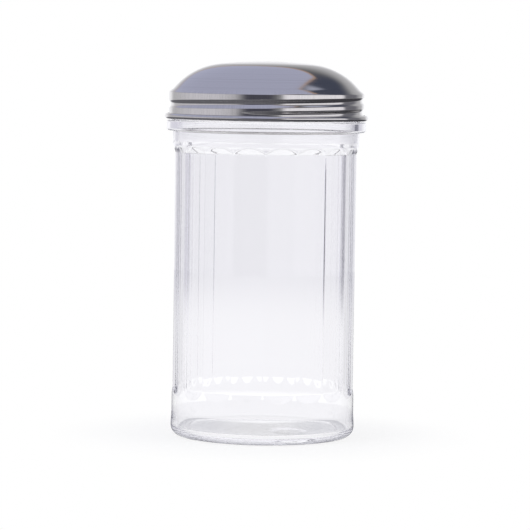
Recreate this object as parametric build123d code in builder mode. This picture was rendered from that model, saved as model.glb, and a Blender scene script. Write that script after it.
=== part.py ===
from build123d import *
import math
import os

# Sugar dispenser: a clear jar with flat panels, and a drawn steel screw lid whose rear slope
# has a pour opening under a hinged flap. Millimetres, +Z up, the origin at the middle of the
# base, -Y towards the viewer and +Y the pouring side.

os.makedirs("parts", exist_ok=True)

# ---------------------------------------------------------------- jar: driving dimensions
JAR_HEIGHT = 129.0             # base to rim
BODY_RADIUS = 34.15            # round body, left standing as ridges between the flats
WALL = 1.45                    # body wall, under a ridge
FLOOR_HEIGHT = 2.7             # top of the floor
FLOOR_CORNER = 3.0             # inside corner between floor and wall
BASE_FLARE = 0.25              # the foot swells a little below the panels
BASE_FLARE_LOW = 5.0
BASE_FLARE_HIGH = 9.0
FLARE_BLEND = 25.0
HEEL_RADIUS = 3.7
STANDING_RING = 6.15           # from the foot's outside in to the recess under the base
RECESS_DEPTH = 1.2
RECESS_SLOPE = 1.0
RECESS_BLEND = 0.4

PANELS = 18
PANEL_DEPTH = 0.45             # round body to the middle of a flat
PANEL_BOTTOM = 18.4
PANEL_DROP = 22.7              # rim down to the panels' top edge
PANEL_RUNOUT_TOP = 0.43        # how fast a flat leans out above its top edge, radius by height
PANEL_RUNOUT_BOTTOM = 0.16
PANEL_CUTTER_DEPTH = 2.3       # how far the cutter reaches out from the flat

NECK_STEP = 0.65               # neck outside the body
NECK_TAPER = 0.15              # and its top outside its foot
SHOULDER_DROP = 0.5            # the shoulder starts this far below the panels' top edge
SHOULDER_RISE = 2.25
SHOULDER_BLEND = 15.0
COLLAR_DEPTH = 2.65            # collar ring outside the thread's root
COLLAR_WIDTH = 3.9
COLLAR_ROUNDING = 0.7
COLLAR_ROOT_ROUNDING = 0.4
BORE_RISE = 0.2                # the bore widens to the mouth from here above the panels' top
MOUTH_RISE = 4.2
BORE_BLEND = 8.0

FINISH_STEP = 0.35             # root of the jar's thread outside the body
FINISH_HEIGHT = 10.9           # collar ring to rim
FINISH_WALL = 1.3
RIM_ROUNDING = 0.5
THREAD_PITCH = 4.2             # six turns to the inch, right-handed, single start
THREAD_HEIGHT = 0.45
THREAD_ROUNDING = 1.1          # radius of the ridge's round back
THREAD_RISE = 3.9              # collar ring up to the ridge's lower end
THREAD_START_ANGLE = -110.0
THREAD_TURNS = 1.35

MARK_X = 9.7                   # round mould mark under the floor
MARK_Y = -12.0
MARK_RADIUS = 5.9
MARK_DEPTH = 0.35

# ---------------------------------------------------------------- lid: driving dimensions
SHEET = 0.55                   # the lid's steel sheet
THREAD_CLEARANCE = 0.25        # between the lid's roll and the jar's thread, all round
SEAT_GAP = 0.3                 # between the jar's rim and the inside of the lid
ROLL_DEPTH = 0.7               # depth of the rolled groove in the skirt
ROLL_ROUNDING = 1.5            # radius of the groove
ROLL_RISE = 1.45               # curl's middle up to the groove's lower end
ROLL_START_ANGLE = -65.0
ROLL_TURNS = 1.28

CROWN_RADIUS = 166.0           # the dome is a flat crown arc and a tighter edge arc
EDGE_ARC_REACH = 17.35         # how far in from the dome's edge the tighter arc goes
DOME_EDGE_ARC = 25.9
DOME_EDGE_STEP = 0.25          # the dome meets the sloping shoulder outside the thread's root
SHOULDER_ANGLE = 35.3          # slope of the shoulder, degrees below level
SKIRT_CORNER = 0.7
CURL_RADIUS = 1.05             # outside of the rolled bottom edge
CURL_GAP = 0.35                # collar ring to curl
CURL_TURN = 282.0              # degrees of the roll

# ---------------------------------------------------------------- hinge and flap
PIN_RADIUS = 0.5
PIN_CLEARANCE = 0.06           # running fit in the flap's knuckle
PIN_FIT = 0.01                 # close fit in the ears
PIN_HEAD_RADIUS = 0.85
PIN_HEAD_HEIGHT = 0.35
PIN_HEAD_ROUNDING = 0.2
FLAP_SHEET = 0.5
FLAP_GAP = 0.3                 # flap over dome when closed
HINGE_INSET = 9.75             # the knuckle stands this far inside the dome's edge
KNUCKLE_WIDTH = 12.0
KNUCKLE_SLIT = 0.25            # the open end of the rolled knuckle
EAR_GAP = 0.25                 # knuckle to ear, each side
EAR_RADIUS = 1.2
EAR_ROOT = 3.0                 # from the pin down into the dome
FLAP_WIDTH = 25.4
FLAP_REACH = 6.4               # blade beside the knuckle down to where its lip turns out
FLAP_INSET = 1.05              # the lip turns out this far inside the dome's edge
FLAP_CORNER = 1.5
TONGUE_LAP = 1.5               # how far the knuckle's tongue runs on over the blade
LIP_RADIUS = 1.4
LIP_TURN = 60.0
OPENING_BACK = 0.4             # the opening starts this far behind the knuckle
TOP_LAP = 0.9                  # how far the blade laps over the opening's edges
SIDE_LAP = 1.6
END_LAP = 0.7
OPENING_CORNER = 0.9


def polar_point(centre, radius, angle):
    """The point at radius and angle, in degrees, about centre."""
    turn = math.radians(angle)
    return (centre[0] + radius * math.cos(turn), centre[1] + radius * math.sin(turn))


# ---------------------------------------------------------------- sizes that follow
bore_radius = BODY_RADIUS - WALL
base_radius = BODY_RADIUS + BASE_FLARE
recess_radius = base_radius - STANDING_RING
panel_apothem = BODY_RADIUS - PANEL_DEPTH
panel_top = JAR_HEIGHT - PANEL_DROP
panel_reach = panel_apothem + PANEL_CUTTER_DEPTH
panel_width = 2 * BODY_RADIUS * math.sin(math.pi / PANELS) + PANEL_CUTTER_DEPTH
neck_radius = BODY_RADIUS + NECK_STEP
shoulder_bottom = panel_top - SHOULDER_DROP
bore_top = panel_top + BORE_RISE
mouth_bottom = panel_top + MOUTH_RISE
finish_radius = BODY_RADIUS + FINISH_STEP
mouth_radius = finish_radius - FINISH_WALL
collar_radius = finish_radius + COLLAR_DEPTH
collar_top = JAR_HEIGHT - FINISH_HEIGHT
collar_bottom = collar_top - COLLAR_WIDTH

thread_crest = finish_radius + THREAD_HEIGHT
roll_inside = thread_crest + THREAD_CLEARANCE
groove_floor = roll_inside + SHEET
skirt_radius = groove_floor + ROLL_DEPTH
roll_centre = groove_floor + ROLL_ROUNDING
curl_height = collar_top + CURL_GAP + CURL_RADIUS
curl_middle = (skirt_radius + CURL_RADIUS - SHEET, curl_height)
curl_end = 180 + CURL_TURN

dome_edge = finish_radius + DOME_EDGE_STEP
crown_edge = dome_edge - EDGE_ARC_REACH
shoulder_slope = math.tan(math.radians(SHOULDER_ANGLE))
shoulder_cos = math.cos(math.radians(SHOULDER_ANGLE))
dome_edge_height = (
    JAR_HEIGHT + (SHEET + SEAT_GAP) / shoulder_cos - DOME_EDGE_STEP * shoulder_slope
)
crown_angle = math.asin(crown_edge / CROWN_RADIUS)
edge_arc_x = crown_edge - DOME_EDGE_ARC * math.sin(crown_angle)
rim_angle = math.asin((dome_edge - edge_arc_x) / DOME_EDGE_ARC)
edge_arc_z = dome_edge_height - DOME_EDGE_ARC * math.cos(rim_angle)
edge_middle = (edge_arc_x, edge_arc_z)
crown_z = edge_arc_z - (CROWN_RADIUS - DOME_EDGE_ARC) * math.cos(crown_angle)
lid_top = crown_z + CROWN_RADIUS

knuckle_bore = PIN_RADIUS + PIN_CLEARANCE
knuckle_radius = knuckle_bore + FLAP_SHEET
flap_inner = DOME_EDGE_ARC + FLAP_GAP
flap_outer = flap_inner + FLAP_SHEET
flap_end = dome_edge - FLAP_INSET
flap_top = flap_end - FLAP_REACH
tongue_end = flap_top + TONGUE_LAP
hinge_radius = dome_edge - HINGE_INSET
hinge_slope = math.degrees(math.asin((hinge_radius - edge_arc_x) / DOME_EDGE_ARC))
tongue_slope = math.degrees(math.asin((tongue_end - edge_arc_x) / DOME_EDGE_ARC))
flap_end_slope = math.degrees(math.asin((flap_end - edge_arc_x) / DOME_EDGE_ARC))
hinge_middle = polar_point(edge_middle, flap_inner + knuckle_radius, 90 - hinge_slope)
ear_inside = KNUCKLE_WIDTH / 2 + EAR_GAP
ear_outside = ear_inside + SHEET
lip_middle = polar_point(edge_middle, flap_inner + LIP_RADIUS, 90 - flap_end_slope)
lip_start = 270 - flap_end_slope
opening_top = hinge_radius - OPENING_BACK
opening_shoulder = flap_top + TOP_LAP
opening_end = flap_end - END_LAP
opening_width = FLAP_WIDTH - 2 * SIDE_LAP


def wound_bar(path_radius, bar_radius, turns):
    """Round bar wound about Z at the thread's pitch, ball-ended, from +X at height zero."""
    with BuildPart() as bar:
        with BuildLine() as path:
            Helix(THREAD_PITCH, THREAD_PITCH * turns, path_radius)
        with BuildSketch(Plane(origin=path.line @ 0, z_dir=path.line % 0)):
            Circle(bar_radius)
        sweep(path=path.line, is_frenet=True)
        with Locations(path.line @ 0, path.line @ 1):
            Sphere(bar_radius)
    return bar.part


def lid_solid(inset):
    """The lid above its curl as a solid of revolution, its face moved inwards by inset."""
    crown = CROWN_RADIUS - inset
    edge_arc = DOME_EDGE_ARC - inset
    face = skirt_radius - inset
    corner_height = dome_edge_height - (face - dome_edge) * shoulder_slope - inset / shoulder_cos
    with BuildPart() as solid:
        with BuildSketch(Plane.XZ):
            with BuildLine():
                CenterArc((0, crown_z), crown, 90, -math.degrees(crown_angle))
                CenterArc(
                    edge_middle,
                    edge_arc,
                    90 - math.degrees(crown_angle),
                    math.degrees(crown_angle - rim_angle),
                )
                FilletPolyline(
                    polar_point(edge_middle, edge_arc, 90 - math.degrees(rim_angle)),
                    (face, corner_height),
                    (face, curl_height),
                    radius=SKIRT_CORNER - inset,
                )
                Polyline((face, curl_height), (0, curl_height), (0, lid_top - inset))
            make_face()
        revolve(axis=Axis.Z)
    return solid.part


# ---------------------------------------------------------------- jar
with BuildPart() as panel_cutter:
    with BuildSketch(Plane.XZ):
        with BuildLine():
            Polyline(
                (panel_apothem, PANEL_BOTTOM),
                (panel_apothem, panel_top),
                (panel_reach, panel_top + PANEL_CUTTER_DEPTH / PANEL_RUNOUT_TOP),
                (panel_reach, PANEL_BOTTOM - PANEL_CUTTER_DEPTH / PANEL_RUNOUT_BOTTOM),
                close=True,
            )
        make_face()
    extrude(amount=panel_width / 2, both=True)

jar_thread = wound_bar(thread_crest - THREAD_ROUNDING, THREAD_ROUNDING, THREAD_TURNS)

with BuildPart() as jar:
    with BuildSketch(Plane.XZ):
        with BuildLine():
            FilletPolyline(
                (0, RECESS_DEPTH),
                (recess_radius - RECESS_SLOPE, RECESS_DEPTH),
                (recess_radius, 0),
                (base_radius, 0),
                (base_radius, BASE_FLARE_LOW),
                (BODY_RADIUS, BASE_FLARE_HIGH),
                (BODY_RADIUS, shoulder_bottom),
                (neck_radius, shoulder_bottom + SHOULDER_RISE),
                (neck_radius + NECK_TAPER, collar_bottom),
                (collar_radius, collar_bottom),
                (collar_radius, collar_top),
                (finish_radius, collar_top),
                (finish_radius, JAR_HEIGHT),
                (0, JAR_HEIGHT),
                radius=[
                    RECESS_BLEND,
                    RECESS_BLEND,
                    HEEL_RADIUS,
                    FLARE_BLEND,
                    FLARE_BLEND,
                    0,
                    SHOULDER_BLEND,
                    COLLAR_ROOT_ROUNDING,
                    COLLAR_ROUNDING,
                    COLLAR_ROUNDING,
                    COLLAR_ROOT_ROUNDING,
                    RIM_ROUNDING,
                ],
            )
            Line((0, JAR_HEIGHT), (0, RECESS_DEPTH))
        make_face()
    revolve(axis=Axis.Z)
    with PolarLocations(0, PANELS):
        add(panel_cutter.part, mode=Mode.SUBTRACT)
    with Locations(Location((0, 0, collar_top + THREAD_RISE), (0, 0, THREAD_START_ANGLE))):
        add(jar_thread)
    with BuildSketch(Plane.XZ):
        with BuildLine():
            FilletPolyline(
                (0, FLOOR_HEIGHT),
                (bore_radius, FLOOR_HEIGHT),
                (bore_radius, bore_top),
                (mouth_radius, mouth_bottom),
                (mouth_radius, JAR_HEIGHT - RIM_ROUNDING),
                (mouth_radius + RIM_ROUNDING, JAR_HEIGHT),
                (0, JAR_HEIGHT),
                radius=[FLOOR_CORNER, BORE_BLEND, BORE_BLEND, RIM_ROUNDING, 0],
            )
            Line((0, JAR_HEIGHT), (0, FLOOR_HEIGHT))
        make_face()
    revolve(axis=Axis.Z, mode=Mode.SUBTRACT)
    with BuildSketch(Plane.XY):
        with Locations((MARK_X, MARK_Y)):
            Circle(MARK_RADIUS)
    extrude(amount=RECESS_DEPTH + MARK_DEPTH, mode=Mode.SUBTRACT)
jar.part.label = "jar"
export_step(jar.part, "parts/jar.step")

# ---------------------------------------------------------------- lid shell
roll_place = Location((0, 0, curl_height + ROLL_RISE), (0, 0, ROLL_START_ANGLE))

with BuildPart() as lid_cavity:
    add(lid_solid(SHEET))
    with Locations(roll_place):
        add(wound_bar(roll_centre, ROLL_ROUNDING + SHEET, ROLL_TURNS), mode=Mode.SUBTRACT)

with BuildPart() as lid_shell:
    add(lid_solid(0))
    with Locations(roll_place):
        add(wound_bar(roll_centre, ROLL_ROUNDING, ROLL_TURNS), mode=Mode.SUBTRACT)
    for side in (-1, 1):
        with BuildSketch(Plane.YZ.offset(side * (ear_inside + ear_outside) / 2)):
            with Locations(hinge_middle):
                Circle(EAR_RADIUS)
                Rectangle(2 * EAR_RADIUS, EAR_ROOT, align=(Align.CENTER, Align.MAX))
        extrude(amount=SHEET / 2, both=True)
    add(lid_cavity.part, mode=Mode.SUBTRACT)
    with BuildSketch(Plane.XY.offset(dome_edge_height)) as opening:
        Circle(opening_end)
        with Locations((0, opening_shoulder)):
            Rectangle(
                opening_width,
                opening_end,
                align=(Align.CENTER, Align.MIN),
                mode=Mode.INTERSECT,
            )
        with Locations((0, opening_shoulder + OPENING_CORNER)):
            Rectangle(
                2 * ear_inside,
                opening_shoulder + OPENING_CORNER - opening_top,
                align=(Align.CENTER, Align.MAX),
            )
        fillet(opening.vertices(), radius=OPENING_CORNER)
    extrude(amount=lid_top - dome_edge_height, mode=Mode.SUBTRACT)
    with BuildSketch(Plane.YZ.offset(-ear_outside)):
        with Locations(hinge_middle):
            Circle(PIN_RADIUS + PIN_FIT)
    extrude(amount=2 * ear_outside, mode=Mode.SUBTRACT)
    with BuildSketch(Plane.XZ):
        with BuildLine():
            CenterArc(curl_middle, CURL_RADIUS, 180, CURL_TURN)
            CenterArc(curl_middle, CURL_RADIUS - SHEET, 180, CURL_TURN)
            for angle in (180, curl_end):
                Line(
                    polar_point(curl_middle, CURL_RADIUS, angle),
                    polar_point(curl_middle, CURL_RADIUS - SHEET, angle),
                )
        make_face()
    revolve(axis=Axis.Z)
lid_shell.part.label = "lid_shell"
export_step(lid_shell.part, "parts/lid_shell.step")

# ---------------------------------------------------------------- hinge pin
with BuildPart() as hinge_pin:
    with BuildSketch(Plane.XY):
        Rectangle(2 * ear_outside, PIN_RADIUS, align=(Align.CENTER, Align.MIN))
        for side in (-1, 1):
            with BuildLine():
                FilletPolyline(
                    (side * ear_outside, 0),
                    (side * ear_outside, PIN_HEAD_RADIUS),
                    (side * (ear_outside + PIN_HEAD_HEIGHT), PIN_HEAD_RADIUS),
                    (side * (ear_outside + PIN_HEAD_HEIGHT), 0),
                    radius=[0, PIN_HEAD_ROUNDING],
                )
                Line((side * (ear_outside + PIN_HEAD_HEIGHT), 0), (side * ear_outside, 0))
            make_face()
    revolve(axis=Axis.X)
hinge_pin.part.position = (0, hinge_middle[0], hinge_middle[1])
hinge_pin.part.label = "hinge_pin"
export_step(hinge_pin.part, "parts/hinge_pin.step")

# ---------------------------------------------------------------- flap
with BuildPart() as flap:
    with BuildSketch(Plane.XZ):
        with BuildLine():
            CenterArc(edge_middle, flap_inner, 90 - flap_end_slope, flap_end_slope - hinge_slope)
            CenterArc(edge_middle, flap_outer, 90 - flap_end_slope, flap_end_slope - hinge_slope)
            CenterArc(lip_middle, LIP_RADIUS, lip_start, LIP_TURN)
            CenterArc(lip_middle, LIP_RADIUS - FLAP_SHEET, lip_start, LIP_TURN)
            Line(
                polar_point(edge_middle, flap_inner, 90 - hinge_slope),
                polar_point(edge_middle, flap_outer, 90 - hinge_slope),
            )
            Line(
                polar_point(lip_middle, LIP_RADIUS, lip_start + LIP_TURN),
                polar_point(lip_middle, LIP_RADIUS - FLAP_SHEET, lip_start + LIP_TURN),
            )
        make_face()
    revolve(axis=Axis.Z)
    with BuildSketch(Plane.XY.offset(curl_height)) as blade_plan:
        Circle(lip_middle[0] + LIP_RADIUS)
        with Locations((0, flap_top)):
            Rectangle(FLAP_WIDTH, flap_end, align=(Align.CENTER, Align.MIN), mode=Mode.INTERSECT)
        fillet(blade_plan.vertices(), radius=FLAP_CORNER)
    extrude(amount=lid_top - curl_height, mode=Mode.INTERSECT)
    with BuildSketch(Plane.YZ):
        with Locations(hinge_middle):
            Circle(knuckle_radius)
            Circle(knuckle_bore, mode=Mode.SUBTRACT)
        with Locations(polar_point(hinge_middle, knuckle_bore, 270 - hinge_slope)):
            Rectangle(
                knuckle_radius,
                KNUCKLE_SLIT,
                rotation=-hinge_slope,
                align=(Align.MIN, Align.MIN),
                mode=Mode.SUBTRACT,
            )
        with BuildLine():
            CenterArc(edge_middle, flap_inner, 90 - tongue_slope, tongue_slope - hinge_slope)
            CenterArc(edge_middle, flap_outer, 90 - tongue_slope, tongue_slope - hinge_slope)
            for slope in (hinge_slope, tongue_slope):
                Line(
                    polar_point(edge_middle, flap_inner, 90 - slope),
                    polar_point(edge_middle, flap_outer, 90 - slope),
                )
        make_face()
    extrude(amount=KNUCKLE_WIDTH / 2, both=True)
flap.part.label = "flap"
export_step(flap.part, "parts/flap.step")
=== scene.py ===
"""Looks of the sugar dispenser: a clear panelled jar under a drawn steel screw lid with a flap.

Sizes are in millimetres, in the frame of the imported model: +Z up, the origin under the middle of
the base, -Y towards the camera and +Y the pouring side. Meshes are made in metres.
"""

import logging
import math
from collections.abc import Callable
from dataclasses import dataclass
from enum import Enum

import bpy
import numpy as np
from mathutils import Matrix, Vector


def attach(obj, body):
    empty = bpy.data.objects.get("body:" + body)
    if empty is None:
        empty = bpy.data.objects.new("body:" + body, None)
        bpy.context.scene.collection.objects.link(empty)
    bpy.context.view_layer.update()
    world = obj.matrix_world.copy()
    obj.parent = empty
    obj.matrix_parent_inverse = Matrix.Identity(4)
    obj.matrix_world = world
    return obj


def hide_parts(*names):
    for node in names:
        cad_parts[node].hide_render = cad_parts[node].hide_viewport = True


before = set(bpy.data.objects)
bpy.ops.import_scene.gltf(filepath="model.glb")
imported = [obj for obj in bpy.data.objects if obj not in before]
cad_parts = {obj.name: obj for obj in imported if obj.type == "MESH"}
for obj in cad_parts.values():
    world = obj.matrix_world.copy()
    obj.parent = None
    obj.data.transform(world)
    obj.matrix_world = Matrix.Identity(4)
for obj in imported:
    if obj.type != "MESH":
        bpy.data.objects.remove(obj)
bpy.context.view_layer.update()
LOG = logging.getLogger("sugar_dispenser")
MM = 0.001
FULL = 2.0 * math.pi
GUARD = 0.06
HINGE = (25.5416, 138.4921)
NUMBER, VECTOR, COLOUR = "NodeSocketFloat", "NodeSocketVector", "NodeSocketColor"
WHITE = (1.0, 1.0, 1.0)
FLOOR = -0.05
Array = np.ndarray
Socket = bpy.types.NodeSocket
Pair = tuple[float, float]
Triple = tuple[float, float, float]
Plane = tuple[float, float, float, float, float]


# ---- mesh making
def smooth_step(x: Array, low: float, high: float) -> Array:
    """Cubic step of x, from 0 below low to 1 above high: 3 t^2 - 2 t^3 of its share of the way."""
    t = np.clip((np.asarray(x, float) - low) / (high - low), 0.0, 1.0)
    return t * t * (3.0 - 2.0 * t)


def soft_min(a: Array, b: Array, width: float) -> Array:
    """The smaller of a and b, with their crossing rounded over width.

    Where the two differ by less than width, the result dips below both by up to a quarter of it,
    so an edge between two faces comes out as a small round.
    """
    mix = np.clip(0.5 + 0.5 * (b - a) / width, 0.0, 1.0)
    return b * (1.0 - mix) + a * mix - width * mix * (1.0 - mix)


def filleted(corners: list[Pair], radii: list[float], step: float = 7.5) -> Array:
    """A profile whose corners are rounded by arcs tangent to both sides.

    At a corner the arc's ends lie radius * tan(turn / 2) from it along each side, and its points
    are the arm from its centre to its start, turned in equal steps. A guard point stands just
    outside each end, so that the straight sides keep their own normals.

    Args:
        corners: Profile points as (radius, height).
        radii: Rounding of each point but the first and last.
        step: Largest turn between two points of an arc, in degrees.

    Returns:
        Points of the rounded profile, one row each.
    """
    pts = np.array(corners, float)
    out = [pts[:1]]
    for before, at, after, radius in zip(pts, pts[1:], pts[2:], radii):
        sides = np.linalg.norm([at - before, after - at], axis=1)
        a, b = (at - before) / sides[0], (after - at) / sides[1]
        turn = math.atan2(a[0] * b[1] - a[1] * b[0], float(a @ b))
        if radius <= 0.0 or abs(turn) < 1e-6:
            out.append(at[None])
            continue
        reach = radius * math.tan(abs(turn) / 2.0)
        arm = math.copysign(radius, turn) * np.array([a[1], -a[0]])
        ang = np.linspace(0.0, turn, max(5, math.ceil(math.degrees(abs(turn)) / step) + 1))
        cos, sin = np.cos(ang), np.sin(ang)
        arc = np.stack([arm[0] * cos - arm[1] * sin, arm[0] * sin + arm[1] * cos], 1)
        arc = arc + at - a * reach - arm
        guard = np.clip(0.3 * (sides - reach), 0.0, GUARD)
        out.extend([arc[:1] - a * guard[0], arc, arc[-1:] + b * guard[1]])
    out.append(pts[-1:])
    profile = np.concatenate(out)
    return profile[np.concatenate([[True], np.linalg.norm(np.diff(profile, axis=0), axis=1) > 1e-4])]


def with_levels(profile: Array, axis: int, levels: list[float]) -> Array:
    """A profile with extra points where one of its coordinates passes the given levels.

    Args:
        profile: Profile points as (radius, height).
        axis: 0 to cut at radii, 1 to cut at heights.
        levels: Values of that coordinate.

    Returns:
        The profile's own points and the new ones in order, none closer than 0.01 mm.
    """
    run = np.concatenate([[0.0], np.cumsum(np.linalg.norm(np.diff(profile, axis=0), axis=1))])
    a, b = profile[:-1, axis][:, None], profile[1:, axis][:, None]
    rise = np.where(np.abs(b - a) < 1e-9, 1e-9, b - a)
    share = (np.asarray(levels, float)[None] - a) / rise
    seg, col = np.nonzero((share > 0.0) & (share < 1.0) & (np.abs(b - a) > 1e-6))
    extra = run[seg] + share[seg, col] * np.diff(run)[seg]
    at = np.sort(np.concatenate([run, extra]))
    at = at[np.concatenate([[True], np.diff(at) > 0.01])]
    return np.stack([np.interp(at, run, profile[:, k]) for k in (0, 1)], 1)


def spread(profile: Array, columns: int) -> tuple[Array, Array]:
    """The radius and the height of a profile's points, each repeated over the columns."""
    return np.repeat(profile[:, :1], columns, 1), np.repeat(profile[:, 1:], columns, 1)


def about_axis(radius: Array, height: Array, angle: Array) -> Array:
    """Points (radius cos angle, radius sin angle, height) about Z."""
    return np.stack([radius * np.cos(angle), radius * np.sin(angle), height], -1)


def sheet_rows(*strips: tuple) -> Array:
    """Rows of points from strips, each an X, a Y and a Z that are broadcast over one another."""
    return np.concatenate([np.stack(np.broadcast_arrays(*strip), -1) for strip in strips])


def grid_faces(rows: int, cols: int, start: int = 0, closed: bool = False) -> Array:
    """Quads of a grid of points.

    Args:
        rows: Number of rows.
        cols: Points in a row.
        start: Index of the grid's first point.
        closed: Joins the end of each row to its start.

    Returns:
        Quads as rows of four indices.
    """
    i, j = np.meshgrid(np.arange(rows - 1), np.arange(cols if closed else cols - 1), indexing="ij")
    k = (j + 1) % cols
    quads = np.stack([i * cols + j, i * cols + k, (i + 1) * cols + k, (i + 1) * cols + j], -1)
    return quads.reshape(-1, 4) + start


def pole_faces(pole: int, first: int, cols: int, flip: bool) -> Array:
    """Triangles from a pole to a closed ring of points.

    Args:
        pole: Index of the pole.
        first: Index of the ring's first point.
        cols: Points in the ring.
        flip: Turns the triangles over.

    Returns:
        Triangles as rows of three indices.
    """
    j = np.arange(cols)
    k = (j + 1) % cols
    a, b = (first + k, first + j) if flip else (first + j, first + k)
    return np.stack([np.full(cols, pole), a, b], 1)


def mesh_object(
    name: str, points: Array, faces: list[Array], crease: float = 40.0
) -> bpy.types.Object:
    """An object at the origin made of the given points and faces, smooth but for sharp creases.

    Args:
        name: Name of the object and of its mesh.
        points: Points in millimetres, one row each.
        faces: Arrays of quads and of triangles.
        crease: Angle in degrees past which an edge stays sharp.

    Returns:
        The new object, linked to the scene.
    """
    mesh = bpy.data.meshes.new(name)
    mesh.vertices.add(len(points))
    mesh.vertices.foreach_set("co", (np.asarray(points, float) * MM).astype(np.float32).ravel())
    totals = np.concatenate([np.full(len(f), f.shape[1]) for f in faces])
    loops = np.concatenate([f.ravel() for f in faces])
    starts = np.concatenate([[0], np.cumsum(totals)[:-1]])
    mesh.loops.add(len(loops))
    mesh.loops.foreach_set("vertex_index", loops.astype(np.int32))
    mesh.polygons.add(len(totals))
    mesh.polygons.foreach_set("loop_start", starts.astype(np.int32))
    mesh.polygons.foreach_set("loop_total", totals.astype(np.int32))
    mesh.update(calc_edges=True)
    mesh.validate()
    finish_shading(mesh, crease)
    obj = bpy.data.objects.new(name, mesh)
    bpy.context.scene.collection.objects.link(obj)
    return obj


def finish_shading(mesh: bpy.types.Mesh, crease: float) -> None:
    """Shades a mesh smooth and marks edges sharper than crease degrees."""
    mesh.polygons.foreach_set("use_smooth", np.ones(len(mesh.polygons), bool))
    mesh.set_sharp_from_angle(angle=math.radians(crease))
    mesh.update()


def closed_turning(name: str, rings: Array) -> bpy.types.Object:
    """A closed body from rings about an axis whose first and last rings are single points.

    Args:
        name: Name of the object.
        rings: Array (rows, columns, 3) in millimetres; rows 0 and -1 have one place each.

    Returns:
        The object, its faces outwards.
    """
    rows, cols = rings.shape[:2]
    inner = rings[1:-1].reshape(-1, 3)
    points = np.concatenate([inner, rings[0, :1], rings[-1, :1]])
    faces = [
        grid_faces(rows - 2, cols, closed=True),
        pole_faces(len(inner), 0, cols, True),
        pole_faces(len(inner) + 1, (rows - 3) * cols, cols, False),
    ]
    tris = np.concatenate([faces[0][:, [0, 1, 2]], faces[0][:, [0, 2, 3]], faces[1], faces[2]])
    a, b, c = (points[tris[:, k]] for k in range(3))
    if np.einsum("ij,ij->i", a, np.cross(b, c)).sum() < 0.0:
        faces = [f[:, ::-1] for f in faces]
    return mesh_object(name, points, faces)


def applied(obj: bpy.types.Object, crease: float) -> bpy.types.Object:
    """Bakes an object's modifiers into its mesh, and shades the result again."""
    graph = bpy.context.evaluated_depsgraph_get()
    mesh = bpy.data.meshes.new_from_object(obj.evaluated_get(graph), depsgraph=graph)
    obj.modifiers.clear()
    obj.data = mesh
    finish_shading(mesh, crease)
    return obj


def thickened(obj: bpy.types.Object, sheet: float) -> bpy.types.Object:
    """Gives a middle surface its sheet thickness in millimetres, half to each side."""
    solid = obj.modifiers.new("sheet", "SOLIDIFY")
    solid.thickness = sheet * MM
    solid.offset = 0.0
    solid.use_even_offset = True
    solid.use_rim = True
    return obj


# ---- materials
class Finish(Enum):
    """Steel finishes, each with the density of its upright lines and the scale of its mottle."""

    DRAWN = (260.0, 60.0)
    PRESSED = (420.0, 160.0)
    WIRE = (900.0, 60.0)


@dataclass
class Graph:
    """A shader node tree with short ways to add nodes and links."""

    tree: bpy.types.NodeTree

    def add(self, kind: str, inputs: dict | None = None, **settings: object) -> bpy.types.Node:
        """Adds a node.

        Args:
            kind: The node's kind.
            inputs: Values or sockets for its inputs, by name or place.
            settings: The node's properties.

        Returns:
            The new node.
        """
        node = self.tree.nodes.new(kind)
        for key, value in settings.items():
            setattr(node, key, value)
        for key, value in (inputs or {}).items():
            self.link(value, node.inputs[key])
        return node

    def link(self, value: object, target: Socket) -> None:
        """Joins a socket to the target, or sets the target to a number, vector or colour."""
        if isinstance(value, Socket):
            self.tree.links.new(value, target)
        elif target.type == "RGBA":
            target.default_value = (*value, 1.0)
        else:
            target.default_value = value

    def math(self, operation: str, *inputs: object) -> Socket:
        """The result of a math node on numbers or sockets."""
        return self.add("ShaderNodeMath", dict(enumerate(inputs)), operation=operation).outputs[0]

    def vector(self, operation: str, *inputs: object) -> bpy.types.Node:
        """A vector math node, its inputs given as sockets or triples."""
        return self.add("ShaderNodeVectorMath", dict(enumerate(inputs)), operation=operation)

    def place(self) -> Socket:
        """The point on the object, in metres."""
        return self.add("ShaderNodeTexCoord").outputs["Object"]

    def axes(self, place: Socket) -> bpy.types.bpy_prop_collection:
        """The X, Y and Z of a place."""
        return self.add("ShaderNodeSeparateXYZ", {0: place}).outputs

    def point(self, *axes: object) -> Socket:
        """A place from its X, Y and Z."""
        return self.add("ShaderNodeCombineXYZ", dict(enumerate(axes))).outputs[0]

    def noise(self, place: Socket, scale: object, detail: float) -> Socket:
        """Noise between 0 and 1 over a place, at a scale and with a number of octaves."""
        values = {"Vector": place, "Scale": scale, "Detail": detail}
        return self.add("ShaderNodeTexNoise", values).outputs[0]

    def bump(self, height: Socket, distance: float) -> Socket:
        """Normals of a surface raised by a height between 0 and 1, times a distance in metres."""
        values = {"Strength": 1.0, "Distance": distance, "Height": height}
        return self.add("ShaderNodeBump", values).outputs[0]

    def group(self, tree: bpy.types.NodeTree, inputs: dict | None = None) -> bpy.types.Node:
        """A node that holds a group, with its inputs."""
        return self.add("ShaderNodeGroup", inputs, node_tree=tree)

    def remap(
        self, value: Socket, low: float, high: float, to_low: float = 0.0, to_high: float = 1.0
    ) -> Socket:
        """A smooth map from one range to another.

        Args:
            value: Socket to map.
            low: Value that maps to to_low.
            high: Value that maps to to_high.
            to_low: Result at and below low.
            to_high: Result at and above high.

        Returns:
            The result's socket.
        """
        ends = {"From Min": low, "From Max": high, "To Min": to_low, "To Max": to_high}
        values = {"Value": value} | ends
        return self.add("ShaderNodeMapRange", values, interpolation_type="SMOOTHSTEP").outputs[0]

    def blend(self, factor: object, a: object, b: object) -> Socket:
        """A colour mix from a to b by factor, each a socket, a number or a colour."""
        values = {0: factor, 6: a, 7: b}
        return self.add("ShaderNodeMix", values, data_type="RGBA", clamp_factor=True).outputs[2]


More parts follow.
